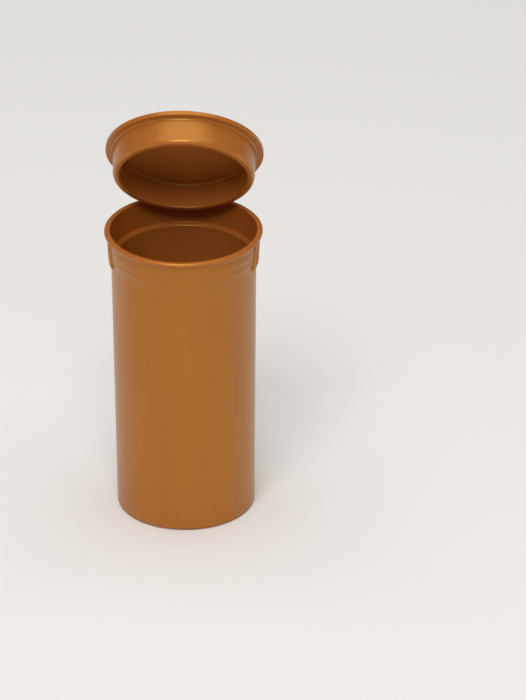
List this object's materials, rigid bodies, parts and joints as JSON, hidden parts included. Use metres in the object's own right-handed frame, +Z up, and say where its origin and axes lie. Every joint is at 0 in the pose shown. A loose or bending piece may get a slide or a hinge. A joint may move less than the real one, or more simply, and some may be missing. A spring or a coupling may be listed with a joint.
{
  "type": "prescription vial",
  "caption": "Tall round squeeze-open pill vial with a ribbed grip collar and a living-hinged plug lid marked with a double-headed arrow.",
  "frame": {"origin": "centre of the base, on the surface the vial stands on", "axes": "+Z up along the vial's axis; +Y towards the hinge at the back; +X to the right seen from the front"},
  "size_m": [0.0406, 0.0417, 0.1127],
  "materials": {
    "pearl_plastic": "satin-gloss moulded polypropylene with a gold pearl pigment",
    "pearl_plastic_thin": "the same plastic, stretched thin and paler at the living hinge"
  },
  "bodies": {
    "vial": {"vial_body": "pearl_plastic", "mouth_collar": "pearl_plastic", "grip_ribs_left": "pearl_plastic", "grip_ribs_right": "pearl_plastic", "hinge_pad": "pearl_plastic", "rim_hinge_tab": "pearl_plastic", "hinge_web": "pearl_plastic_thin"},
    "lid": {"lid_panel": "pearl_plastic", "plug_skirt": "pearl_plastic", "seal_bead": "pearl_plastic", "lid_hinge_tab": "pearl_plastic", "squeeze_arrow": "pearl_plastic", "lid_bars": "pearl_plastic"}
  },
  "joints": [
    {"name": "lid_hinge", "type": "hinge", "parent": "vial", "child": "lid", "pos_m": [0, 0.0207, 0.0786], "axis": [-1, 0, 0], "range_deg": [-55, 120], "stiffness_Nm_per_rad": 0.01}
  ]
}
